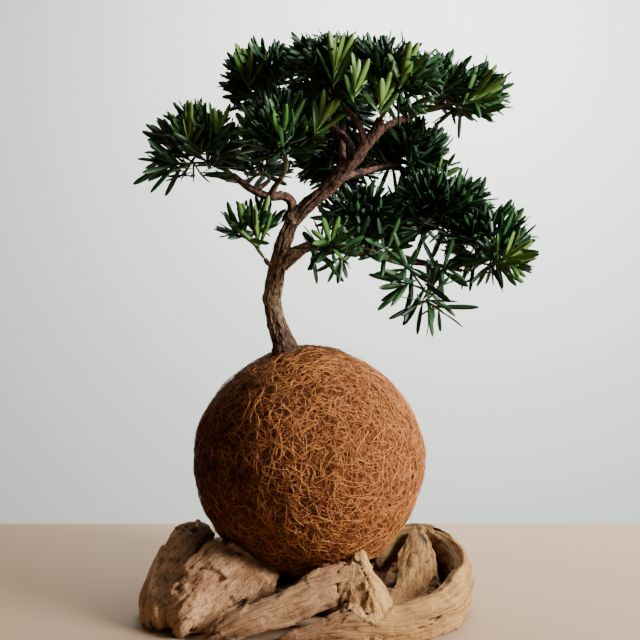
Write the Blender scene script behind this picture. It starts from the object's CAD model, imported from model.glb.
"""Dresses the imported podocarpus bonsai: its driftwood, coir ball, bark, twigs and leaves.

Sizes are in millimetres in the part's own frame: +X to the viewer's right, +Y away, +Z up, with the
origin on the ground below the middle of the ball. Meshes are made in metres.
"""

import math

import bpy
import numpy as np
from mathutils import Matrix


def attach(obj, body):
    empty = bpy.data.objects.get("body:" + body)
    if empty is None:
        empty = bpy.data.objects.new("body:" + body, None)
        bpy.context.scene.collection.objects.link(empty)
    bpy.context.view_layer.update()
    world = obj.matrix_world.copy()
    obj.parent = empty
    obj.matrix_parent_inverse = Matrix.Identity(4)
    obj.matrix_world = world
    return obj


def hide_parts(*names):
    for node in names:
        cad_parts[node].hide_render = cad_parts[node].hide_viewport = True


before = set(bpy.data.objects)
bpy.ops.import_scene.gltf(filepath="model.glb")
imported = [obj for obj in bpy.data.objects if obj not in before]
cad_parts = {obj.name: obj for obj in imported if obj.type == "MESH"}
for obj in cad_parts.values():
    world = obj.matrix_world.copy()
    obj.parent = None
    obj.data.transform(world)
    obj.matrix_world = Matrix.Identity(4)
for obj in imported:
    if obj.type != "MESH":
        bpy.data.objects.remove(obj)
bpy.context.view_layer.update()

# The driftwood is one weathered root that water has worn into two lobes, a bar, a fin and a bowl.
# Each is a run of stations, x, y, z, half width and half height, and the runs grow into one another.
MM = 0.001
DRIFTWOOD = {
    "floor": ((-114, -28, 2, 26, 10), (-84, -20, 6, 50, 18), (-46, -2, 8, 50, 19), (6, 8, 8, 56, 19),
              (50, -6, 6, 56, 15), (90, -24, 3, 46, 8), (116, -28, 2, 26, 6)),
    "left_front": ((-97, -73, 0, 13, 12), (-89, -68, 8, 15, 20), (-79, -62, 19, 16, 28),
                   (-66, -57, 31, 16, 32), (-51, -54, 34, 14, 27), (-37, -52, 32, 12, 17),
                   (-25, -53, 27, 8, 9)),
    "left_back": ((-106, -64, -2, 16, 16), (-109, -50, 13, 20, 18), (-108, -34, 27, 21, 18),
                  (-101, -16, 40, 20, 17), (-92, 0, 47, 16, 14), (-80, 12, 45, 10, 10)),
    "front_bar": ((-74, -88, 0, 6, 7), (-56, -87, 9, 8, 10), (-30, -84, 19, 9, 12), (-5, -79, 27, 9, 14),
                  (13, -74, 34, 9, 16), (27, -70, 38, 8, 16), (35, -67, 41, 6, 12)),
    "fin": ((38, -64, 58, 3, 2.5), (37, -68, 51, 7, 5), (38, -73, 41, 14, 8), (41, -78, 28, 21, 11),
            (43, -80, 14, 26, 13), (42, -81, -4, 29, 13)),
    "bowl_wall": ((-20, -89, 3, 5, 4), (8, -88, 8, 8, 9), (34, -86, 12, 12, 16), (64, -80, 10, 12, 15),
                  (90, -70, 12, 11, 17), (108, -52, 14, 10, 21), (118, -30, 18, 9, 23), (116, -6, 23, 8, 23),
                  (104, 14, 26, 8, 26), (86, 23, 26, 8, 27), (70, 20, 21, 8, 23), (56, 8, 14, 8, 18)),
    "bowl_fold": ((89, 18, 47, 6, 6), (88, 8, 39, 12, 6), (85, -4, 29, 18, 6), (81, -17, 19, 24, 6),
                  (78, -31, 10, 27, 6), (76, -44, 2, 26, 5)),
    "back_wall": ((-88, 8, 22, 12, 20), (-62, 44, 16, 13, 20), (-14, 64, 14, 12, 20),
                  (36, 58, 15, 12, 21), (68, 28, 18, 10, 22)),
}
DRIFTWOOD_ARCH = ((-19, -110, -2, 38, 15), (-19, -80, -2, 38, 15), (-20, -50, -3, 34, 14), (-22, -18, -4, 22, 11))
# How light each run's wood is, from wet and dark at 0 to bleached at 1, how many flat sides it has, and
# how broken its surface is.
DRIFTWOOD_LOOK = {
    "floor": (0.12, 7, 1.0), "left_front": (0.76, 5, 1.15), "left_back": (1.0, 4, 0.9), "front_bar": (0.58, 5, 0.85),
    "fin": (0.78, 4, 0.7), "bowl_wall": (0.60, 6, 0.75), "bowl_fold": (0.44, 6, 0.2), "back_wall": (0.3, 7, 0.8)}
# Which way the grain points where it runs straight; elsewhere it follows the line of the run.
DRIFTWOOD_GRAIN = {"left_front": (0.72, 0.1, 0.62), "left_back": (0.3, 0.45, 0.84), "front_bar": (0.93, 0.1, 0.36),
                   "fin": (-0.12, 0.15, 0.98), "bowl_fold": (0.25, 0.55, 0.8)}
DRIFTWOOD_VOXEL = 1.22
BOWL_HEART = np.array([80.0, -22.0, 24.0])  # the wood that faces it, inside the bowl, has not bleached
BALL_DIAMETER = 180.0
BALL_CENTRE = np.array([0.0, 0.0, 111.0])
# The ball's dents and swellings: bearing from +X, elevation, height, and the angle it spreads over.
BALL_LUMPS = np.array([
    (0, 58, -2.2, 16), (0, -29, -3.0, 17), (0, -64, -2.6, 17), (0, 3, 1.6, 16), (180, -32, 1.8, 20),
    (180, 15, 2.0, 18), (190, 84, 2.4, 13), (250, 20, 1.2, 26), (290, -20, 1.5, 24), (70, 10, 1.6, 24),
    (110, -30, -1.8, 22), (60, 50, 1.5, 20), (140, 40, -1.6, 20)])


def unit(v):
    return v / np.maximum(np.linalg.norm(v, axis=-1, keepdims=True), 1e-9)


def through(stations, steps):
    """The stations' columns at fractional station numbers, on a Catmull-Rom curve through them."""
    p = np.vstack([2 * stations[0] - stations[1], stations, 2 * stations[-1] - stations[-2]])
    k = np.minimum(steps.astype(int), len(stations) - 2)
    a, b, c, d = p[k], p[k + 1], p[k + 2], p[k + 3]
    t = (steps - k)[:, None]
    return 0.5 * (2 * b + (c - a) * t + (2 * a - 5 * b + 4 * c - d) * t**2 + (3 * b - a - 3 * c + d) * t**3)


def chance(cell, seed):
    """A random number from -1 to 1 for each cell of a lattice, scrambled from its three whole numbers."""
    key = (cell * (374761393, 668265263, 2246822519)).sum(axis=-1) + seed * 3266489917
    key = (key ^ (key >> 13)) * 1274126177
    return ((key ^ (key >> 16)) & 0xFFFF) / 32767.5 - 1


def noise(points, seed=0):
    """Smooth noise from -1 to 1 at points in space: random values on a lattice of unit cells, blended
    between the eight corners of a point's cell by 3t^2 - 2t^3 along each axis."""
    cell = np.floor(points).astype(np.int64)
    t = points - cell
    t = t * t * (3 - 2 * t)
    total = np.zeros(points.shape[:-1])
    for corner in range(8):
        step = np.array([corner & 1, corner >> 1 & 1, corner >> 2 & 1])
        total += np.where(step, t, 1 - t).prod(axis=-1) * chance(cell + step, seed)
    return total


def layered(points, layers, seed=0):
    """Noise with finer noise on it: each layer is twice as fine as the one before, and half as strong."""
    return sum(noise(points * 2.0**k, seed + k) / 2**k for k in range(layers))


def flakes(points, seed):
    """Broken faces from -1 to 1: each point takes the height and the slope of the nearest of a set of
    sites, one to a unit cell and shaken within it, so that the faces meet in steps."""
    cell = np.floor(points).astype(np.int64)
    nearest, value = np.full(len(points), np.inf), np.zeros(len(points))
    for step in np.ndindex(3, 3, 3):
        home = cell + np.array(step) - 1
        offset = points - home - 0.5 - 0.45 * np.stack([chance(home, seed + k) for k in range(3)], -1)
        gap = (offset**2).sum(axis=1)
        slope = np.stack([chance(home, seed + 3 + k) for k in range(3)], -1)
        value = np.where(gap < nearest, 0.5 * chance(home, seed + 6) + (offset * slope).sum(axis=1), value)
        nearest = np.minimum(nearest, gap)
    return value


def frames(line, up):
    """The unit side and rise at each point of a line: side is square to the line and to up, and rise is
    square to both."""
    along = unit(np.gradient(line, axis=0))
    side = unit(np.cross(along, up))
    return side, np.cross(side, along)


def tube_triangles(rings, sides, tubes=1):
    """Rows of three point numbers for closed tubes whose points run ring by ring, with the middle of
    each tube's first and last ring as its two last points."""
    r, s = np.meshgrid(np.arange(rings - 1), np.arange(sides), indexing="ij")
    a, b = r * sides + s, r * sides + (s + 1) % sides
    c, d = a + sides, b + sides
    walls = np.concatenate([np.stack([a, b, d], -1).reshape(-1, 3), np.stack([a, d, c], -1).reshape(-1, 3)])
    s = np.arange(sides)
    foot, tip, last = rings * sides, rings * sides + 1, (rings - 1) * sides
    ends = np.vstack([
        np.stack([(s + 1) % sides, s, np.full(sides, foot)], -1),
        np.stack([last + s, last + (s + 1) % sides, np.full(sides, tip)], -1)])
    one = np.vstack([walls, ends])
    return (one[None] + np.arange(tubes)[:, None, None] * (rings * sides + 2)).reshape(-1, 3)


def mesh_of(name, points, triangles):
    """A smooth-shaded mesh object from points in millimetres and rows of three point numbers."""
    mesh = bpy.data.meshes.new(name)
    mesh.vertices.add(len(points))
    mesh.vertices.foreach_set("co", (points * MM).astype(np.float32).ravel())
    mesh.loops.add(triangles.size)
    mesh.loops.foreach_set("vertex_index", triangles.astype(np.int32).ravel())
    mesh.polygons.add(len(triangles))
    mesh.polygons.foreach_set("loop_start", np.arange(0, triangles.size, 3, dtype=np.int32))
    mesh.update(calc_edges=True)
    mesh.shade_smooth()
    made = bpy.data.objects.new(name, mesh)
    bpy.context.scene.collection.objects.link(made)
    return made


def fit(made, slot, finish, *nodes):
    """Gives a piece its finish and its place in the frame, standing for the nodes named."""
    made.data.materials.clear()
    made.data.materials.append(finish)
    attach(made, "root")
    if nodes:
        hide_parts(*nodes)


def note(made, name, values):
    """Keeps a number or a vector at each point of a mesh, for its material to read."""
    kind, key = ("FLOAT", "value") if values.ndim == 1 else ("FLOAT_VECTOR", "vector")
    made.data.attributes.new(name, kind, "POINT").data.foreach_set(key, values.astype(np.float32).ravel())


def points_of(made):
    """A mesh's points in millimetres, and its normal at each."""
    points, normals = np.empty(len(made.data.vertices) * 3), np.empty(len(made.data.vertices) * 3)
    made.data.vertices.foreach_get("co", points)
    made.data.vertices.foreach_get("normal", normals)
    return points.reshape(-1, 3) / MM, normals.reshape(-1, 3)


def with_modifier(made, kind, **settings):
    """The object with one modifier applied."""
    change = made.modifiers.new(kind, kind)
    for key, value in settings.items():
        setattr(change, key, value)
    graph = bpy.context.evaluated_depsgraph_get()
    mesh = bpy.data.meshes.new_from_object(made.evaluated_get(graph))
    made.modifiers.clear()
    made.data = mesh
    return made


def ball_radius(ways, grow=0.0):
    """The ball's radius along unit ways: half its diameter, and each lump's height times
    exp(-(angle from the lump / its spread)^2)."""
    bearing, elevation, height, spread = BALL_LUMPS.T
    b, e = np.radians(bearing), np.radians(elevation)
    axes = np.stack([np.cos(b) * np.cos(e), np.sin(b) * np.cos(e), np.sin(e)], axis=-1)
    angle = np.arccos(np.clip(ways @ axes.T, -1, 1))
    return BALL_DIAMETER / 2 + grow + (height * np.exp(-((angle / np.radians(spread)) ** 2))).sum(axis=-1)


def driftwood_line(stations):
    """The run's stations made smooth, eight steps from one to the next, with its ends drawn in."""
    count = len(stations) - 1
    dense = through(np.array(stations, float), np.linspace(0, count, count * 8 + 1))
    ends = np.minimum(np.arange(len(dense)), np.arange(len(dense))[::-1]) / 4
    dense[:, 3:] *= np.sqrt(np.clip(1 - (1 - np.clip(ends, 0, 1)) ** 2 * 0.7, 0, 1))[:, None]
    return dense


def run_up(line):
    return (0, 1, 0.1) if abs(unit(line[-1] - line[0])[2]) > 0.85 else (0.05, 0.1, 1)


def driftwood_run(name, stations, flats=7, sides=48):
    """A section of flat sides carried along the run's line: an oval whose radius at each turn is drawn in
    to a polygon of so many flats, most of the way, and swells and shrinks a little with noise."""
    dense = driftwood_line(stations)
    line, wide, high = dense[:, :3], dense[:, 3:4], dense[:, 4:5]
    side, rise = frames(line, run_up(line))
    turn = np.arange(sides) * 2 * math.pi / sides
    where = np.stack(np.broadcast_arrays(np.cos(turn) * 1.3, np.sin(turn) * 1.3, np.arange(len(line))[:, None] / 9), -1)
    within = (turn - 0.3 * 2 * math.pi / flats) % (2 * math.pi / flats) - math.pi / flats
    flat = math.cos(math.pi / flats) / np.cos(within)
    swell = (0.12 + 0.88 * flat) * (1 + 0.06 * noise(where + len(stations), 3))
    across = (wide * np.cos(turn) * swell)[..., None] * side[:, None]
    upward = (high * np.sin(turn) * swell)[..., None] * rise[:, None]
    rings = line[:, None] + across + upward
    points = np.vstack([rings.reshape(-1, 3), line[0], line[-1]])
    return mesh_of(name, points, tube_triangles(len(line), sides))


def sphere(name, rings, sides, grow):
    """The ball as rings of points about its upright axis, closed at either pole."""
    elevation = np.linspace(-math.pi / 2, math.pi / 2, rings + 2)[1:-1, None]
    bearing = np.arange(sides) * 2 * math.pi / sides
    flat, height = np.cos(elevation), np.sin(elevation) + 0 * bearing
    ways = np.stack([flat * np.cos(bearing), flat * np.sin(bearing), height], -1).reshape(-1, 3)
    ways = np.vstack([ways, (0, 0, -1), (0, 0, 1)])
    return mesh_of(name, BALL_CENTRE + ways * ball_radius(ways, grow)[:, None], tube_triangles(rings, sides))


def box(name, low, high):
    """A closed block between two corners."""
    x, y, z = np.meshgrid(*zip(low, high), indexing="ij")
    points = np.stack([x, y, z], -1).reshape(-1, 3).astype(float)
    quads = np.array([(0, 1, 3, 2), (4, 6, 7, 5), (0, 4, 5, 1), (2, 3, 7, 6), (0, 2, 6, 4), (1, 5, 7, 3)])
    return mesh_of(name, points, np.vstack([quads[:, [0, 1, 2]], quads[:, [0, 2, 3]]]))


runs = [driftwood_run(name, stations, DRIFTWOOD_LOOK[name][1]) for name, stations in DRIFTWOOD.items()]
driftwood = runs[0]
for run in runs[1:]:
    driftwood = with_modifier(driftwood, "BOOLEAN", operation="UNION", solver="MANIFOLD", object=run)
for cutter in (driftwood_run("arch", DRIFTWOOD_ARCH), box("ground", (-250, -250, -250), (250, 250, 0)),
               sphere("seat", 60, 96, 0.4)):
    driftwood = with_modifier(driftwood, "BOOLEAN", operation="DIFFERENCE", solver="MANIFOLD", object=cutter)
    runs.append(cutter)
for run in runs[1:]:
    bpy.data.objects.remove(run)
driftwood = with_modifier(driftwood, "REMESH", mode="VOXEL", voxel_size=DRIFTWOOD_VOXEL * MM)
driftwood = with_modifier(driftwood, "SMOOTH", factor=0.5, iterations=1)
driftwood.name = "driftwood_grain"

points, normals = points_of(driftwood)


def grain_place(points):
    """For each point, how far it lies along the run of wood that it belongs to, and across it both ways,
    in millimetres, with that run's lightness and how broken it is. It belongs to the run whose surface is
    nearest, by distance from the run's line over the run's half size there."""
    best = np.full(len(points), np.inf)
    place, look = np.zeros((len(points), 3)), np.zeros((len(points), 2))
    for number, (name, stations) in enumerate(DRIFTWOOD.items()):
        dense = driftwood_line(stations)
        line = dense[:, :3]
        side, rise = frames(line, run_up(line))
        length = np.append(0, np.cumsum(np.linalg.norm(np.diff(line, axis=0), axis=1)))
        gap = np.linalg.norm(points[:, None] - line, axis=2) / np.sqrt(dense[:, 3] * dense[:, 4])
        gap += 0.35 * (name == "floor")
        nearest = gap.argmin(axis=1)
        reach = gap[np.arange(len(points)), nearest]
        offset = points - line[nearest]
        along = length[nearest] + (offset * np.cross(rise, side)[nearest]).sum(axis=1)
        own = np.stack([along, (offset * side[nearest]).sum(axis=1), (offset * rise[nearest]).sum(axis=1)], -1)
        if name in DRIFTWOOD_GRAIN:
            straight = unit(np.array(DRIFTWOOD_GRAIN[name]))
            across = unit(np.cross(straight, (0.05, 0.1, 1)))
            own = points @ np.stack([straight, across, np.cross(across, straight)]).T
        mine = reach < best
        best[mine] = reach[mine]
        place[mine] = own[mine] + 100.0 * number
        look[mine] = DRIFTWOOD_LOOK[name][0], DRIFTWOOD_LOOK[name][2]
    return place, look[:, 0], look[:, 1]


place, light, broken = grain_place(points)
lumps = layered(points / 22, 4, 11)
faces = flakes(place * (1 / 34, 1 / 13, 1 / 13), 71) + 0.4 * flakes(place * (1 / 16, 1 / 5, 1 / 5), 81)
ridges = layered(place * (1 / 48, 1 / 4, 1 / 4), 3, 21)  # grain is long along the run and short across it
crack = np.clip(1 - np.abs(layered(place * (1 / 75, 1 / 11, 1 / 11), 2, 41)) / 0.06, 0, 1)
crack *= np.clip(layered(points / 28, 2, 47) * 5 - 0.4, 0, 1) * np.clip(2 * broken, 0, 1)
torn = np.clip((normals @ unit(np.array((-0.6, -0.1, 0.8))) - 0.45) * 3, 0, 1)
edge = torn * (light == DRIFTWOOD_LOOK["left_front"][0]) * np.clip((points[:, 2] - 22) / 12, 0, 1)
edge = np.maximum(edge, 0.6 * np.clip(layered(points / 34, 2, 57) * 4 - 1.2, 0, 1))
crumbs = layered(points / 5.5, 3, 51)
height = broken * (1.0 * lumps + 1.9 * faces) + 0.7 * ridges - 2.4 * crack + 2.0 * edge * crumbs
points = points + normals * height[:, None]
away = points - BALL_CENTRE
reach = np.linalg.norm(away, axis=1)
shell = ball_radius(unit(away), 0.4)
points = np.where((reach < shell)[:, None], BALL_CENTRE + unit(away) * shell[:, None], points)
points[:, 2] = np.maximum(points[:, 2], 0)
driftwood.data.vertices.foreach_set("co", (points * MM).ravel())
driftwood.data.update()
driftwood.data.shade_smooth()
inner = np.clip((unit(BOWL_HEART - points) * normals).sum(axis=1) * 2, 0, 1)
light = light - 0.48 * inner * (light == DRIFTWOOD_LOOK["bowl_wall"][0])
note(driftwood, "grain", place * MM)
note(driftwood, "light", light)
note(driftwood, "worn", np.clip(0.6 + 0.35 * ridges - 0.8 * crack + 0.35 * edge * crumbs + 0.12 * faces, 0, 1))


class Value:
    """What a shader node gives. Arithmetic on it adds the Math nodes that work it out."""

    def __init__(self, finish, socket):
        self.finish = finish
        self.socket = socket

    def worked(self, operation, *values):
        return self.finish.add("ShaderNodeMath", {"operation": operation}, dict(enumerate(values)))

    def __add__(self, other):
        return self.worked("ADD", self, other)

    def __sub__(self, other):
        return self.worked("SUBTRACT", self, other)

    def __rsub__(self, other):
        return self.worked("SUBTRACT", other, self)

    def __mul__(self, other):
        return self.worked("MULTIPLY", self, other)

    __radd__ = __add__
    __rmul__ = __mul__

    def between(self, low, high):
        """0 below low and 1 above high, rising evenly from one to the other."""
        return self.finish.add("ShaderNodeMapRange", {}, {"Value": self, "From Min": low, "From Max": high})


class Finish:
    """A material in the making: a Principled shader, and the nodes that feed it."""

    def __init__(self, name, **plain):
        self.material = bpy.data.materials.new(name)
        self.material.use_nodes = True
        self.tree = self.material.node_tree
        self.shader = self.tree.nodes["Principled BSDF"]
        for key, value in plain.items():
            self.feed(key.replace("_", " ").title().replace("Ior", "IOR"), value)

    def add(self, kind, settings, inputs, output=0):
        """A node of that type, with its settings, and the values or links of its sockets."""
        node = self.tree.nodes.new(kind)
        for key, value in settings.items():
            if key == "stops":
                for stop in list(node.color_ramp.elements)[1:]:
                    node.color_ramp.elements.remove(stop)
                for number, (position, colour) in enumerate(value):
                    elements = node.color_ramp.elements
                    stop = elements[0] if number == 0 else elements.new(position)
                    stop.position, stop.color = position, (*colour, 1.0)
            else:
                setattr(node, key, value)
        for key, value in inputs.items():
            self.connect(node.inputs[key], value)
        return Value(self, node.outputs[output])

    def connect(self, socket, value):
        if isinstance(value, Value):
            self.tree.links.new(value.socket, socket)
        elif socket.type == "RGBA" and len(value) == 3:
            socket.default_value = (*value, 1.0)
        else:
            socket.default_value = value

    def feed(self, name, value):
        self.connect(self.shader.inputs[name], value)

    def place(self):
        """The piece's own coordinates in metres."""
        return self.add("ShaderNodeTexCoord", {}, {}, "Object")

    def kept(self, name, output="Fac"):
        """A number or vector that the mesh keeps at its points."""
        return self.add("ShaderNodeAttribute", {"attribute_name": name}, {}, output)

    def stretched(self, place, scale):
        return self.add("ShaderNodeVectorMath", {"operation": "MULTIPLY"}, {0: place, 1: scale})

    def cloud(self, place, scale, detail=4.0, roughness=0.55):
        inputs = {"Vector": place, "Scale": scale, "Detail": detail, "Roughness": roughness}
        return self.add("ShaderNodeTexNoise", {}, inputs)

    def mix(self, share, first, second):
        """The first colour where the share is 0, and the second where it is 1."""
        return self.add("ShaderNodeMix", {"data_type": "RGBA"}, {0: share, 6: first, 7: second}, 2)

    def ramp(self, share, *stops):
        return self.add("ShaderNodeValToRGB", {"stops": stops}, {"Fac": share})

    def relief(self, height, depth, strength=1.0):
        """Feeds the shader's normal from a height of 0 to 1 that stands for that depth in metres."""
        inputs = {"Height": height, "Distance": depth, "Strength": strength}
        self.feed("Normal", self.add("ShaderNodeBump", {}, inputs))


wood = Finish("driftwood", roughness=0.8, specular_ior_level=0.25)
grain = wood.stretched(wood.kept("grain", "Vector"), (45.0, 700.0, 700.0))
lines = wood.cloud(grain, 1.0, 6.0, 0.65)
patches = wood.cloud(wood.place(), 38.0, 4.0)
pits = wood.cloud(wood.place(), 900.0, 2.0)
worn = wood.kept("worn")
golden = wood.add("ShaderNodeSeparateXYZ", {}, {0: wood.place()}, 0).between(0.015, 0.055)
pale = wood.mix(golden, (0.69, 0.366, 0.175), (0.73, 0.387, 0.122))
colour = wood.mix(wood.kept("light"), (0.085, 0.048, 0.018), pale)
colour = wood.mix(patches.between(0.48, 0.70) * 0.75, colour, (0.22, 0.095, 0.042))
colour = wood.mix(lines.between(0.49, 0.66) * 0.8, colour, (0.135, 0.062, 0.024))
colour = wood.mix(pits.between(0.36, 0.28) * 0.6, colour, (0.12, 0.065, 0.032))
colour = wood.mix(worn.between(0.46, 0.10), colour, (0.025, 0.012, 0.007))
wood.feed("Base Color", colour)
wood.relief(lines + pits * 0.35, 0.0024)
fit(driftwood, "driftwood", wood.material, "driftwood")

# The ball is peat and roots wrapped in coconut fibre. Its loose coir is a dark felt with thousands of
# curling fibres matted over it, lighter where they lie outermost, and a few ends that stand away.
COIR_COUNT = 16000
COIR_STEPS = 5
COIR_SIDES = 3
DRY_SIDE = unit(np.array((0.85, -0.40, 0.34)))


def matting(points):
    """How thick the coir is laid over the ball at points on it, from slow lumps and finer ones."""
    return 1.1 * layered(points / 15, 3, 61)


coir_felt = sphere("coir_felt", 96, 150, -1.0)
points, normals = points_of(coir_felt)
felt = matting(points - BALL_CENTRE) + layered(points / 2.5, 2, 71) * 0.35
points = points + normals * felt[:, None]
coir_felt.data.vertices.foreach_set("co", (points * MM).ravel())
coir_felt.data.update()
felt_finish = Finish("coir_felt", roughness=0.95, specular_ior_level=0.1)
tangle = felt_finish.cloud(felt_finish.place(), 420.0, 5.0, 0.7)
damp = felt_finish.add("ShaderNodeSeparateXYZ", {}, {0: felt_finish.place()}, 0).between(0.030, -0.085)
felt_colour = felt_finish.ramp(tangle, (0.38, (0.022, 0.006, 0.002)), (0.66, (0.20, 0.062, 0.016)))
felt_finish.feed("Base Color", felt_finish.mix(damp * 0.7, felt_colour, (0.030, 0.006, 0.002)))
felt_finish.relief(tangle, 0.0015)
fit(coir_felt, "coir", felt_finish.material, "coir_ball")


def coir_paths(rng, count):
    """Middle lines of fibres that curl over the ball, as count by steps by 3. Each starts at a random way
    from the ball's middle and walks over the sphere, and its heading turns as it goes by an even curl
    and a slow wave. Its height over the felt is a half wave, and lifts at one end."""
    way = unit(rng.normal(size=(count, 3)))
    heading = unit(np.cross(way, rng.normal(size=(count, 3))))
    length = rng.gamma(3.5, 4.4, count).clip(6, 44)
    curl = rng.normal(0, 0.45, count) * math.pi / (COIR_STEPS - 1)
    wave = rng.uniform(0, 2 * math.pi, count)
    lift = rng.exponential(0.9, count).clip(0, 6) * (rng.random(count) < 0.35)
    low = rng.uniform(-0.5, 1.0, count)
    lines = np.empty((count, COIR_STEPS, 3))
    for k in range(COIR_STEPS):
        share = k / (COIR_STEPS - 1)
        height = low + 0.6 * np.sin(math.pi * share) + lift * share**3
        surface = way * ball_radius(way)[:, None]
        lines[:, k] = BALL_CENTRE + surface + way * (matting(surface) + height - 0.6)[:, None]
        step = (length / (COIR_STEPS - 1) / (BALL_DIAMETER / 2))[:, None]
        way = unit(way + heading * step)
        bend = (curl + 0.16 * np.sin(wave + 5 * share))[:, None]
        heading = unit(heading * np.cos(bend) + np.cross(way, heading) * np.sin(bend))
        heading = unit(heading - way * (heading * way).sum(axis=1, keepdims=True))
    return lines


def hairs(lines, radii, sides):
    """Round tubes about many lines at once, tapering at both ends, as points and triangles."""
    count, steps = lines.shape[:2]
    along = unit(np.gradient(lines, axis=1))
    side = unit(np.cross(along, (0.31, 0.87, 0.38)))
    rise = np.cross(side, along)
    turn = np.arange(sides) * 2 * math.pi / sides
    taper = np.sqrt(np.sin(np.linspace(0.12, math.pi - 0.12, steps)))
    size = (radii[:, None] * taper)[..., None, None]
    rings = lines[:, :, None] + size * (np.cos(turn)[:, None] * side[:, :, None] + np.sin(turn)[:, None] * rise[:, :, None])
    points = np.concatenate([rings.reshape(count, -1, 3), lines[:, :1], lines[:, -1:]], axis=1)
    return points.reshape(-1, 3), tube_triangles(steps, sides, count)


# The coir is driest and palest towards the light, so each kind of fibre has its share of the ball: the
# kinds follow one another by how far a fibre lies that way, give or take a random amount.
coir_rng = np.random.default_rng(1)
coir_lines = coir_paths(coir_rng, COIR_COUNT)
coir_radii = coir_rng.uniform(0.11, 0.22, COIR_COUNT)
dry = unit(coir_lines[:, 2] - BALL_CENTRE) @ DRY_SIDE + coir_rng.normal(0, 0.9, COIR_COUNT)
for name, least, most, colour in (
    ("coir_dark", -9.0, -0.48, (0.110, 0.018, 0.009)),
    ("coir_brown", -0.48, 0.36, (0.310, 0.090, 0.021)),
    ("coir_golden", 0.36, 9.0, (0.620, 0.245, 0.062)),
):
    mine = (dry > least) & (dry <= most)
    points, triangles = hairs(coir_lines[mine], coir_radii[mine], COIR_SIDES)
    strands = mesh_of(name, points, triangles)
    finish = Finish(name, base_color=colour, roughness=0.6, specular_ior_level=0.3)
    fit(strands, "coir", finish.material)

# The trunk leans left out of the ball, then sweeps up to the right. Its bark flakes in long plates,
# grey and tan low down and red-brown higher up.
TRUNK_LINE = np.array([
    (-17.5, -6, 191, 12.0), (-20.5, -7, 204, 8.6), (-25.5, -7, 221, 7.6), (-28.5, -6, 238, 6.9),
    (-26.5, -4, 257, 6.9), (-22.0, -3, 276, 6.6), (-15.5, -4, 296, 6.2), (-5.0, -7, 309, 5.8),
    (14.0, -11, 325, 5.6), (34.0, -15, 346, 5.0), (48.0, -19, 364, 4.2), (54.0, -24, 376, 3.6)], float)
ROUND_UP = (0.13, 0.98, 0.17)


def smooth_line(points, spacing):
    """A smooth curve through the points, with a point about every spacing along it."""
    p = np.asarray(points, float)
    runs = np.linalg.norm(np.diff(p[:, :3], axis=0), axis=1)
    steps = [k + np.arange(n) / n for k, n in enumerate(np.maximum(1, np.round(runs / spacing)).astype(int))]
    return through(p, np.append(np.concatenate(steps), len(p) - 1))


def bark_tube(line, radii, sides, seed):
    """A limb's surface and its relief. The radius at each turn and length gains long flaky plates, noise
    that is stretched along the limb, less the cracks where that noise crosses zero, in proportion to
    the radius, and slow knobs."""
    side, rise = frames(line, ROUND_UP)
    turn = np.arange(sides) * 2 * math.pi / sides
    length = np.append(0, np.cumsum(np.linalg.norm(np.diff(line, axis=0), axis=1)))
    about = np.stack(np.broadcast_arrays(
        np.cos(turn) * radii[:, None], np.sin(turn) * radii[:, None], length[:, None]), -1)
    plates = layered(about * (0.50, 0.50, 0.13), 3, seed)
    crack = np.clip(1 - np.abs(layered(about * (0.42, 0.42, 0.075), 2, seed + 9)) / 0.15, 0, 1)
    knobs = noise(about * (0.10, 0.10, 0.055), seed + 17)
    depth = np.minimum(0.16 * radii, 0.95)[:, None]
    height = depth * (0.8 * plates - 1.1 * crack) + 0.13 * radii[:, None] * knobs
    size = (radii[:, None] + height)[..., None]
    rings = line[:, None] + size * (np.cos(turn)[:, None] * side[:, None] + np.sin(turn)[:, None] * rise[:, None])
    points = np.vstack([rings.reshape(-1, 3), line[0], line[-1]])
    hollow = np.append(np.clip(0.5 + (0.75 * plates - 1.1 * crack) / 2.4, 0, 1).ravel(), (0.5, 0.5))
    return points, tube_triangles(len(line), sides), hollow


trunk_fine = smooth_line(TRUNK_LINE, 0.85)
foot = 1 + 0.16 * np.exp(-(((trunk_fine[:, 2] - 198) / 9) ** 2))
points, triangles, hollow = bark_tube(trunk_fine[:, :3], trunk_fine[:, 3] * foot, 96, 5)
knob = np.exp(-((np.linalg.norm(points - (-33.5, -9, 240), axis=1) / 5) ** 2))
points[:-2] += (unit(points[:-2] - (-28.5, -6, 240)) * 2.4 * knob[:-2, None])
trunk_bark = mesh_of("trunk_bark", points, triangles)
note(trunk_bark, "hollow", hollow)

bark = Finish("bark", roughness=0.88, specular_ior_level=0.2)
at = bark.place()
hollow = bark.kept("hollow")
high = bark.add("ShaderNodeSeparateXYZ", {}, {0: at}, 2).between(0.262, 0.325)
mottle = bark.cloud(bark.stretched(at, (520.0, 520.0, 240.0)), 1.0, 6.0, 0.7)
low_bark = bark.mix(mottle.between(0.40, 0.62), (0.066, 0.037, 0.022), (0.37, 0.235, 0.138))
high_bark = bark.mix(mottle.between(0.43, 0.64), (0.020, 0.009, 0.006), (0.185, 0.086, 0.050))
colour = bark.mix(high, low_bark, high_bark)
foot = bark.add("ShaderNodeSeparateXYZ", {}, {0: at}, 2).between(0.222, 0.197)
colour = bark.mix(foot * 0.85, colour, (0.055, 0.018, 0.009))
bark.feed("Base Color", bark.mix(hollow.between(0.46, 0.16), colour, (0.010, 0.006, 0.005)))
bark.relief(mottle + hollow * 0.5, 0.0012)
fit(trunk_bark, "bark", bark.material, "trunk")

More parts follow.
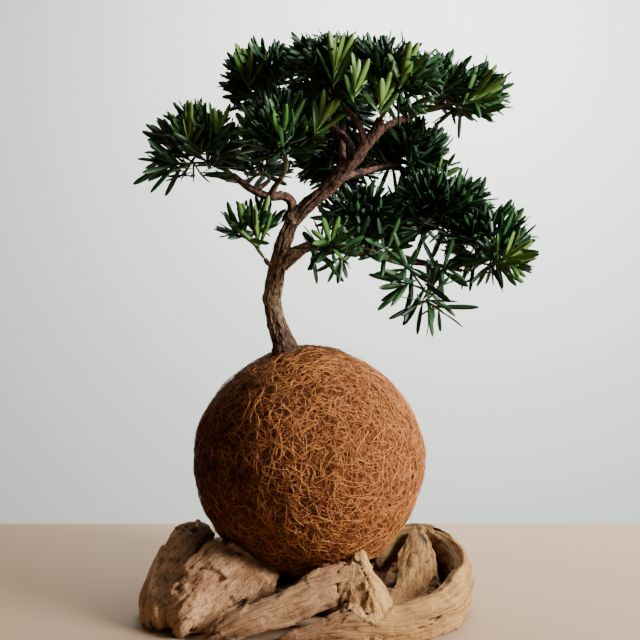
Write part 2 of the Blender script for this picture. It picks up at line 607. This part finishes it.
# The boughs leave the trunk and one another from swollen collars, each a tapering limb under the same
# bark, which is smoother the thinner the limb.
LIMBS = {
    "bough_left_rise": ("trunk", ((-15, -5, 299), (-13, -6, 309), (-15, -8, 316.5), (-20.5, -10, 320)), 4.3, 3.8),
    "bough_left_reach": (
        "bough_left_rise tip", ((-20.5, -10, 320), (-31, -13, 319), (-45, -16, 325), (-58, -17, 335)), 3.8, 2.4),
    "bough_left_front": ("bough_left_reach", ((-29, -13, 319), (-26, -18, 326), (-20, -24, 333)), 2.6, 1.9),
    "bough_left_back": ("bough_left_reach", ((-38, -14.5, 321), (-39, 0, 326), (-33, 22, 334)), 2.6, 1.8),
    "sprig_limb": ("trunk", ((-25, -4, 266), (-31, -8, 267), (-34.5, -9, 271)), 2.0, 1.6),
    "bough_upper_left": ("trunk", ((36, -15.5, 348), (28, -5, 364), (8, 6, 383)), 3.4, 2.2),
    "bough_upper_back": ("trunk", ((27, -13, 339), (26, 8, 360), (28, 36, 384)), 3.2, 2.0),
    "bough_back": ("trunk", ((10, -10, 321), (16, 10, 331), (24, 38, 346)), 3.2, 2.0),
    "bough_top_left": ("trunk", ((43, -18, 358), (38, -22, 371), (27, -26, 384)), 3.0, 2.0),
    "bough_top_right": ("trunk", ((47, -19, 363), (62, -12, 374), (82, -6, 382)), 3.2, 2.2),
    "bough_middle_right": ("trunk", ((22, -12, 333), (41, 4, 339), (60, 22, 346)), 3.2, 2.0),
    "bough_right": (
        "trunk",
        ((-22, -3, 268), (-9, -6, 276.5), (3, -10, 281), (24, -12, 279), (46, -12, 276.5),
         (68, -10, 271), (96, -7, 267), (119, -7, 262)),
        5.2, 1.7),
    "bough_inner": ("bough_right", ((22, -12, 279), (29, -7, 285), (35, -1, 291)), 2.4, 1.8),
    "bough_rosette": ("bough_right", ((6, -10.5, 281), (9, -17, 281), (12, -22, 279)), 2.0, 1.5),
    "bough_right_rise": ("bough_right", ((62, -10.5, 272.5), (72, -6, 281), (84, -2, 291)), 2.6, 1.9),
    "bough_right_back": ("bough_right", ((40, -12, 277), (56, 14, 280), (74, 42, 290)), 2.8, 1.9),
    "bough_hanging": ("bough_right", ((92, -7.5, 267.5), (94, -13, 259), (92, -17, 251)), 2.0, 1.5),
}


def limb_line(name, spacing=1.2):
    """A limb's middle line and its radius along it, which falls from first to last as share^0.8."""
    if name == "trunk":
        line = smooth_line(TRUNK_LINE, spacing)
        return line[:, :3], line[:, 3]
    parent, points, first, last = LIMBS[name]
    line = smooth_line(points, spacing)
    along = np.linspace(0, 1, len(line))
    return line, first + (last - first) * along**0.8


bough_parts = []
for number, name in enumerate(LIMBS):
    line, radii = limb_line(name)
    along = np.append(0, np.cumsum(np.linalg.norm(np.diff(line, axis=0), axis=1)))
    if not LIMBS[name][0].endswith(" tip"):
        radii = radii * (1 + 0.5 * np.exp(-((along / (2.2 * radii[0])) ** 2)))
    bough_parts.append(bark_tube(line, radii, 30, 100 + number))
first_point = np.cumsum([0] + [len(part[0]) for part in bough_parts[:-1]])
bough_bark = mesh_of("bough_bark", np.vstack([part[0] for part in bough_parts]),
                     np.vstack([part[1] + start for part, start in zip(bough_parts, first_point)]))
note(bough_bark, "hollow", np.concatenate([part[2] for part in bough_parts]))
fit(bough_bark, "bark", bark.material, *LIMBS)

# Each mass of foliage grows from one limb's tip: a stem that bends to the mass's heart, leafy shoots
# that fork from it in threes, and finer twigs on those. The twigs are green wood under thin bark.
MASSES = {
    "foliage_left_end": ("bough_left_reach", (-85, -14, 354), (41, 36, 37), 6, 3),
    "foliage_left_front": ("bough_left_front", (-18, -38, 361), (38, 34, 35), 6, 5),
    "foliage_left_back": ("bough_left_back", (-46, 46, 352), (40, 36, 34), 4, 7),
    "foliage_sprig": ("sprig_limb", (-45, -12, 291), (32, 26, 31), 2, 11),
    "foliage_upper_left": ("bough_upper_left", (-34, 14, 411), (40, 36, 34), 6, 13),
    "foliage_upper_back": ("bough_upper_back", (26, 62, 406), (44, 38, 36), 5, 17),
    "foliage_back": ("bough_back", (24, 66, 354), (40, 34, 34), 5, 19),
    "foliage_top_left": ("bough_top_left", (14, -28, 411), (37, 34, 36), 6, 23),
    "foliage_top": ("trunk", (60, -46, 404), (38, 36, 38), 7, 29),
    "foliage_top_right": ("bough_top_right", (113, -6, 398), (43, 38, 35), 6, 31),
    "foliage_middle_right": ("bough_middle_right", (80, 38, 355), (42, 36, 34), 6, 37),
    "foliage_inner": ("bough_inner", (44, 3, 301), (41, 36, 31), 5, 41),
    "foliage_rosette": ("bough_rosette", (14, -38, 276), (27, 24, 28), 2, 43),
    "foliage_right": ("bough_right_rise", (103, -2, 306), (44, 38, 38), 8, 47),
    "foliage_right_back": ("bough_right_back", (96, 62, 308), (42, 34, 34), 4, 53),
    "foliage_right_end": ("bough_right", (139, -14, 281), (40, 36, 37), 6, 59),
    "foliage_hanging": ("bough_hanging", (92, -24, 241), (40, 30, 31), 3, 61),
}
# How many twigs fork from each shoot, how many more do in the bushier masses, and the share of a mass's
# twigs that are this year's growth, where that isn't as usual.
TWIGS_PER_SHOOT = 5
MORE_TWIGS = {"foliage_inner": 2, "foliage_middle_right": 2, "foliage_back": 3, "foliage_upper_back": 4,
              "foliage_top_left": 3, "foliage_top": 1, "foliage_hanging": -4}
YOUNG_SHARE = 0.04
MORE_YOUNG = {"foliage_left_front": 0.24, "foliage_left_end": 0.16, "foliage_top_left": 0.12, "foliage_top": 0.12,
              "foliage_upper_left": 0.10, "foliage_sprig": 0.30, "foliage_right_end": 0.12}
# Shoots that stand out: the mass they grow from, their age as the leaves' materials count it, the root,
# the way they point, how many leaves, how wide they spread in degrees, and how long they are.
SHOOTS = (
    ("foliage_upper_left", 3, (-46, -8, 403), (-0.05, -0.15, 1), 7, 38, 28),
    ("foliage_top_left", 3, (18, -62, 396), (0.15, -0.15, 1), 8, 38, 30),
    ("foliage_top", 3, (32, -75, 382), (0.12, -0.1, 1), 7, 36, 23),
    ("foliage_top", 3, (51, -70, 374), (0.12, -0.1, 1), 7, 44, 21),
    ("foliage_top", 3, (64, -70, 392), (0.3, -0.1, 1), 7, 40, 24),
    ("foliage_top_right", 3, (118, -25, 388), (0.8, -0.1, 0.6), 8, 36, 30),
    ("foliage_left_front", 2, (-18, -60, 354), (-0.05, -0.2, 1), 12, 60, 29),
    ("foliage_left_front", 3, (6, -54, 362), (0.4, -0.1, 0.9), 7, 38, 24),
    ("foliage_left_end", 3, (-88, -35, 355), (-0.1, -0.1, 1), 8, 48, 25),
    ("foliage_left_end", 3, (-69, -30, 358), (0.2, -0.1, 1), 4, 30, 22),
    ("foliage_sprig", 3, (-38, -18, 282), (-0.1, -0.2, 1), 6, 36, 32),
    ("foliage_rosette", 2, (16, -46, 281), (0.0, -0.6, 0.25), 9, 76, 22),
    ("foliage_right_end", 3, (140, -42, 267), (0.75, -0.15, 0.55), 12, 60, 28),
    ("foliage_middle_right", 3, (100, 12, 334), (0.6, -0.3, 0.6), 6, 40, 22),
    ("foliage_left_end", 1, (-98, -28, 342), (-0.9, -0.1, -0.1), 9, 60, 31),
    ("foliage_inner", 1, (38, -24, 281), (-0.1, -0.7, 0.2), 10, 82, 28),
    ("foliage_inner", 1, (58, -22, 278), (0.2, -0.7, 0.1), 10, 82, 28),
    ("foliage_hanging", 1, (76, -24, 264), (-0.4, -0.6, 0.2), 10, 82, 28),
    ("foliage_hanging", 1, (100, -24, 262), (0.3, -0.6, 0.2), 10, 82, 28),
    ("foliage_hanging", 1, (78, -30, 254), (-0.9, -0.3, -0.35), 9, 58, 31),
    ("foliage_hanging", 1, (88, -30, 250), (0.25, -0.2, -1), 5, 52, 33),
)
SPIRAL_TURN = math.radians(137.5)
centres = np.array([mass[1] for mass in MASSES.values()], float)
halves = np.array([mass[2] for mass in MASSES.values()], float)


def stem_line(name):
    """The stem's line: a quadratic curve from the limb's tip to the mass's heart, that sets out the way
    the limb points."""
    limb_name, centre, sizes = MASSES[name][:3]
    line, _ = limb_line(limb_name)
    tip, way = line[-1], unit(line[-1] - line[-2])
    heart = tip + (np.array(centre) - (0, 0, 0.15 * sizes[2]) - tip) * 0.8
    bend = tip + way * np.linalg.norm(heart - tip) * 0.5
    t = np.linspace(0, 1, 7)[:, None]
    return (1 - t) ** 2 * (tip - way) + 2 * t * (1 - t) * bend + t * t * heart


def shoot_ends(rng, name, stem):
    """Where the shoots' tips lie: on a golden-angle spiral over the cap of the mass that faces away from
    its limb and up, a little shaken."""
    _, centre, sizes, count, _ = MASSES[name]
    pole = unit(unit(np.array(centre) - stem[0]) + (0, 0, 0.5))
    side = unit(np.cross(pole, (0.3, 0.9, 0.1)))
    other = np.cross(pole, side)
    k = np.arange(count)
    along = 0.97 - 1.47 * (k + 0.5) / count
    bearing = rng.uniform(0, 2 * math.pi) + k * SPIRAL_TURN
    out = np.sqrt(1 - along**2)
    ways = (along[:, None] * pole + (out * np.cos(bearing))[:, None] * side + (out * np.sin(bearing))[:, None] * other)
    ways = ways + rng.normal(0, 0.08, (count, 3))
    return np.array(centre) + np.array(sizes) * ways * 0.44 * rng.uniform(0.85, 1.1, (count, 1))


def bent(root, tip, sag, steps):
    """Lines from roots to tips that bow out by sag at their middle, as rows by steps by 3."""
    t = np.linspace(0, 1, steps)[None, :, None]
    return root[:, None] * (1 - t) + tip[:, None] * t + sag[:, None] * 4 * t * (1 - t)


twig_lines, twig_sizes, sprays = [], [], []
for name, (limb_name, centre, sizes, count, seed) in MASSES.items():
    rng = np.random.default_rng(seed)
    stem = stem_line(name)
    ends = shoot_ends(rng, name, stem)
    carrier = np.arange(count) // 3 * 3
    share = np.where(np.arange(count) % 3 == 0, rng.uniform(0.0, 0.55, count), 0.0)
    roots = stem[-1] + (stem[1] - stem[-1]) * share[:, None]
    roots = np.where((np.arange(count) % 3 == 0)[:, None], roots, (roots + ends)[carrier] / 2)
    shoots = bent(roots, ends, rng.normal(0, 1.5, (count, 3)), 7)
    finer = TWIGS_PER_SHOOT + MORE_TWIGS.get(name, 0)
    where = rng.uniform(0.25, 0.95, (count, finer, 1))
    forks = roots[:, None] * (1 - where) + ends[:, None] * where
    outward = unit((ends - np.array(centre)) / sizes)[:, None] + rng.normal(0, 0.95, (count, finer, 3))
    tips = np.array(centre) + np.array(sizes) * unit(outward) * rng.uniform(0.38, 0.88, (count, finer, 1))
    twigs = bent(forks.reshape(-1, 3), tips.reshape(-1, 3), rng.normal(0, 1.2, (count * finer, 3)), 7)
    own = [row for row in SHOOTS if row[0] == name]
    fresh = np.array([row[2] for row in own], float).reshape(-1, 3)
    ways = unit(np.array([row[3] for row in own], float).reshape(-1, 3))
    bearers = bent(np.tile(stem[-2], (len(fresh), 1)), fresh + 5 * ways, -4.0 * ways, 7)
    twig_lines += [stem[None], shoots, twigs, bearers]
    twig_sizes += [[limb_line(limb_name)[1][-1] * 0.95], np.full(count, 1.25), np.full(len(twigs), 0.85),
                   np.full(len(bearers), 1.0)]
    sprays.append(np.concatenate([shoots, twigs]))
lines, sizes = np.concatenate(twig_lines), np.concatenate(twig_sizes)
points, triangles = hairs(lines, sizes, 5)
twig_mesh = mesh_of("twigs", points, triangles)
twig_finish = Finish("twig", base_color=(0.075, 0.075, 0.028), roughness=0.7, specular_ior_level=0.25)
fit(twig_mesh, "leaf", twig_finish.material, *MASSES)

# The leaves are long narrow straps with a sunk midrib, set in a spiral round the end of every twig:
# the lowest spread wide, the highest nearly upright. Last year's are dark, this year's yellow-green.
LEAVES_PER_TWIG = 12
# The crown's top: its height over the middle, and how much lower it is for each millimetre nearer to the
# viewer, and for each to the right of a place.
CROWN_TOP = 451
CROWN_FALLS = 0.27, 0.19, 27
# How strongly a mass's leaves turn up, where that isn't as usual, and how low it lets them hang.
LIFT = {"foliage_hanging": -0.35, "foliage_rosette": -0.05, "foliage_right_end": 0.15, "foliage_back": 0.1,
        "foliage_upper_back": 0.0, "foliage_top_left": 0.15, "foliage_right": 0.25, "foliage_inner": 0.15}
FLAT_BELOW = ("foliage_left_end", "foliage_left_front", "foliage_left_back", "foliage_upper_left")
LEAVES_KEPT = {"foliage_hanging": 0.45, "foliage_sprig": 0.6, "foliage_right": 0.8, "foliage_inner": 0.8, "foliage_right_end": 0.8}
LEAF_SECTION = np.array([(-1, 0.16), (0, -0.10), (1, 0.16), (0, -0.34)])
bark_lines = [limb_line(name) for name in ["trunk", *LIMBS]]
bark_at = np.vstack([line for line, _ in bark_lines])
bark_size = np.concatenate([radii for _, radii in bark_lines])


def crown_top(points):
    forward, across, start = CROWN_FALLS
    return CROWN_TOP + forward * points[..., 1].clip(None, 0) - across * (points[..., 0] - start).clip(0, None)


def spray_leaves(rng, name, twigs):
    """Root, way, face, length and age of the leaves on a mass's twigs. The leaf numbered k on a twig sits
    share of the way up its leafy end and turns by the golden angle times k. One whose blade would leave
    the mass's ellipsoid is shortened to fit, and left off below half length or where bark is."""
    number = list(MASSES).index(name)
    foot, tip = twigs[:, 2], twigs[:, -1]
    count = len(twigs)
    stretch = np.minimum(19, np.linalg.norm(tip - foot, axis=1))
    fan = unit(tip - twigs[0, 0])
    axis = unit(unit(tip - foot) + 0.5 * fan + (0, 0, LIFT.get(name, 0.45)))
    side = unit(np.cross(axis, (0.31, 0.87, 0.38)))
    other = np.cross(axis, side)
    young = rng.random(count) < MORE_YOUNG.get(name, YOUNG_SHARE)
    k = np.arange(LEAVES_PER_TWIG)
    share = (k + 0.5) / LEAVES_PER_TWIG + 0 * stretch[:, None]
    bearing = rng.uniform(0, 2 * math.pi, (count, 1)) + k * SPIRAL_TURN + rng.normal(0, 0.2, (count, len(k)))
    spread = np.radians(68 - 54 * share) + rng.normal(0, 0.2, (count, len(k)))
    outward = np.cos(bearing)[..., None] * side[:, None] + np.sin(bearing)[..., None] * other[:, None]
    way = unit(axis[:, None] * np.cos(spread)[..., None] + outward * np.sin(spread)[..., None] + (0, 0, 0.5 * LIFT.get(name, 0.45)))
    root = tip[:, None] - unit(tip - foot)[:, None] * (stretch[:, None] * (1 - share))[..., None]
    length = rng.uniform(23, 38, (count, len(k))) * (1 - 0.2 * share**3) * np.where(young, 0.85, 1.0)[:, None]
    fits = np.zeros_like(length, bool)
    reach = rng.uniform(0.84, 1.12, length.shape)
    floor = centres[number, 2] - halves[number, 2] * (0.6 if name in FLAT_BELOW else 1.1)
    ragged = rng.uniform(0, 14, (count, 1))
    for shorter in (1.0, 0.86, 0.72):
        blade = root + way * (length * shorter)[..., None]
        inside = np.linalg.norm((blade - centres[number]) / halves[number], axis=-1) < reach
        inside &= (blade[..., 2] > floor) & (blade[..., 2] < crown_top(blade) - ragged)
        length = np.where(inside & ~fits, length * shorter, length)
        fits |= inside
    for along in (0.15, 0.4, 0.65, 0.9):
        blade = (root + way * (length * along)[..., None]).reshape(-1, 3)
        gap = (np.linalg.norm(blade[:, None] - bark_at[::3], axis=2) - bark_size[::3]).min(axis=1)
        fits &= (gap > 0.8).reshape(fits.shape)
    face = unit(axis[:, None] - way * (axis[:, None] * way).sum(axis=-1, keepdims=True))
    twist = rng.normal(0, 0.5, (count, len(k), 1))
    face = face * np.cos(twist) + np.cross(way, face) * np.sin(twist)
    fits &= rng.random(fits.shape) < LEAVES_KEPT.get(name, 0.9)
    depth = np.linalg.norm((root - centres[number]) / halves[number], axis=-1)
    outer = depth + rng.normal(0, 0.16, depth.shape) > 0.45
    age = np.where(young[:, None] & (share > 0.3), 2, np.where(outer, 1, 0))
    return root[fits], way[fits], face[fits], length[fits], age[fits]


def leaf_surfaces(rng, root, way, face, length, breadth):
    """Closed leaves. A leaf widens from its stalk over the first half of its length and is rounded off over
    the last third by a quarter ellipse. Its section is folded along the midrib, and its middle line
    bends towards or away from its face by the square of the share of the length s."""
    s = np.array([0.0, 0.16, 0.38, 0.64, 0.84, 0.95, 1.0])
    outline = 0.22 + 0.78 * np.sin(np.minimum(s / 0.55, 1) * math.pi / 2)
    outline *= np.sqrt(1 - np.clip((s - 0.66) / 0.345, 0, 1) ** 2)
    side = np.cross(way, face)
    width = breadth / 2 * rng.uniform(0.8, 1.12, len(root))
    bend = rng.normal(0.03, 0.09, len(root))[:, None] * s**2 * length[:, None]
    middle = root[:, None] + way[:, None] * (s * length[:, None])[..., None] + face[:, None] * bend[..., None]
    half = (width[:, None] * outline)[..., None]
    across = half * LEAF_SECTION[:, 0]
    upward = np.minimum(half, 1.6) * LEAF_SECTION[:, 1]
    rings = (middle[:, :, None] + across[..., None] * side[:, None, None] + upward[..., None] * face[:, None, None])
    points = np.concatenate([rings.reshape(len(root), -1, 3), middle[:, :1], middle[:, -1:]], axis=1)
    return points.reshape(-1, 3), tube_triangles(len(s), len(LEAF_SECTION), len(root))


TO_WINDOW = (0.35, -0.85, 0.35)


def fresh_leaves(rng, age, root, way, count, spread, length):
    """A new shoot's leaves: the same spiral, from the given spread at its foot to less than half of it
    at its tip, their faces turned to the window, the lowest two or three a year older."""
    axis = unit(np.array(way, float))
    side = unit(np.cross(axis, (0.31, 0.87, 0.38)))
    share = (np.arange(count) + 0.5) / count
    bearing = rng.uniform(0, 2 * math.pi) + np.arange(count) * SPIRAL_TURN
    angle = np.radians(spread * (1 - 0.6 * share)) + rng.normal(0, 0.07, count)
    outward = np.cos(bearing)[:, None] * side + np.sin(bearing)[:, None] * np.cross(axis, side)
    ways = unit(axis * np.cos(angle)[:, None] + outward * np.sin(angle)[:, None])
    lit = np.array(TO_WINDOW) + 0.3 * axis + rng.normal(0, 0.25, (count, 3))
    face = unit(lit - ways * (ways * lit).sum(axis=1, keepdims=True))
    root = np.array(root) + axis * (12 * share - 4)[:, None]
    return root, ways, face, length * rng.uniform(0.85, 1.08, count), np.where(share < 0.34, age - 1, age)


grown = []
for name, twigs in zip(MASSES, sprays):
    rng = np.random.default_rng(MASSES[name][4] + 1000)
    grown.append(spray_leaves(rng, name, twigs))
    grown += [fresh_leaves(rng, *row[1:]) for row in SHOOTS if row[0] == name]
root, way, face, length, age = (np.concatenate(column) for column in zip(*grown))
for number, (name, breadth, colour, roughness) in enumerate((
    ("leaves_deep", 4.4, (0.010, 0.036, 0.012), 0.45),
    ("leaves_green", 4.5, (0.017, 0.064, 0.016), 0.42),
    ("leaves_fresh", 4.8, (0.044, 0.124, 0.018), 0.42),
    ("leaves_young", 5.0, (0.085, 0.165, 0.023), 0.45),
)):
    mine = age == number
    rng = np.random.default_rng(number)
    points, triangles = leaf_surfaces(rng, root[mine], way[mine], face[mine], length[mine], breadth)
    leaves = mesh_of(name, points, triangles)
    finish = Finish(name, base_color=colour, roughness=roughness, specular_ior_level=0.32)
    fit(leaves, "leaf", finish.material)

# The plant stands near the back edge of a plain pale table top, before a plain wall, under soft light
# from the right.
TABLE_EDGE = 188


def sheet(name, corners, colour, roughness):
    """A flat four-sided surface between four corners."""
    made = mesh_of(name, np.array(corners, float), np.array([(0, 1, 2), (0, 2, 3)]))
    made.data.materials.append(Finish(name, base_color=colour, roughness=roughness).material)


sheet("table_top", [(-3000, -3000, -0.2), (3000, -3000, -0.2), (3000, TABLE_EDGE, -0.2), (-3000, TABLE_EDGE, -0.2)],
      (0.30, 0.195, 0.115), 0.7)
sheet("wall", [(-4000, 1300, -1500), (4000, 1300, -1500), (4000, 1300, 3000), (-4000, 1300, 3000)],
      (0.67, 0.72, 0.67), 0.95)

scene = bpy.context.scene
scene.world = bpy.data.worlds.new("studio")
scene.world.use_nodes = True
scene.world.node_tree.nodes["Background"].inputs["Color"].default_value = (0.92, 0.92, 0.88, 1.0)
scene.world.node_tree.nodes["Background"].inputs["Strength"].default_value = 0.075
for name, place, aim, size, power in (
    ("window", (1.30, -0.52, 0.74), (0.02, 0.0, 0.2), 0.45, 76.0),
    ("top", (0.4, 0.1, 1.5), (0.02, 0.0, 0.3), 0.8, 12.0),
    ("wall_light", (0.3, 0.5, 0.9), (0.1, 1.3, 0.2), 0.8, 34.0),
):
    light = bpy.data.lights.new(name, "AREA")
    light.size = size
    light.energy = power
    lamp = bpy.data.objects.new(name, light)
    lamp.location = place
    towards = np.array(aim) - place
    lamp.rotation_euler = (math.atan2(math.hypot(towards[0], towards[1]), -towards[2]), 0,
                           math.atan2(-towards[0], towards[1]))
    scene.collection.objects.link(lamp)

camera = bpy.data.cameras.new("camera")
camera.lens = 48
camera.sensor_width = 36
eye = bpy.data.objects.new("camera", camera)
eye.location = (0.0084, -0.6732, 0.270)
eye.rotation_euler = (math.radians(86), 0, 0)
scene.collection.objects.link(eye)
scene.camera = eye
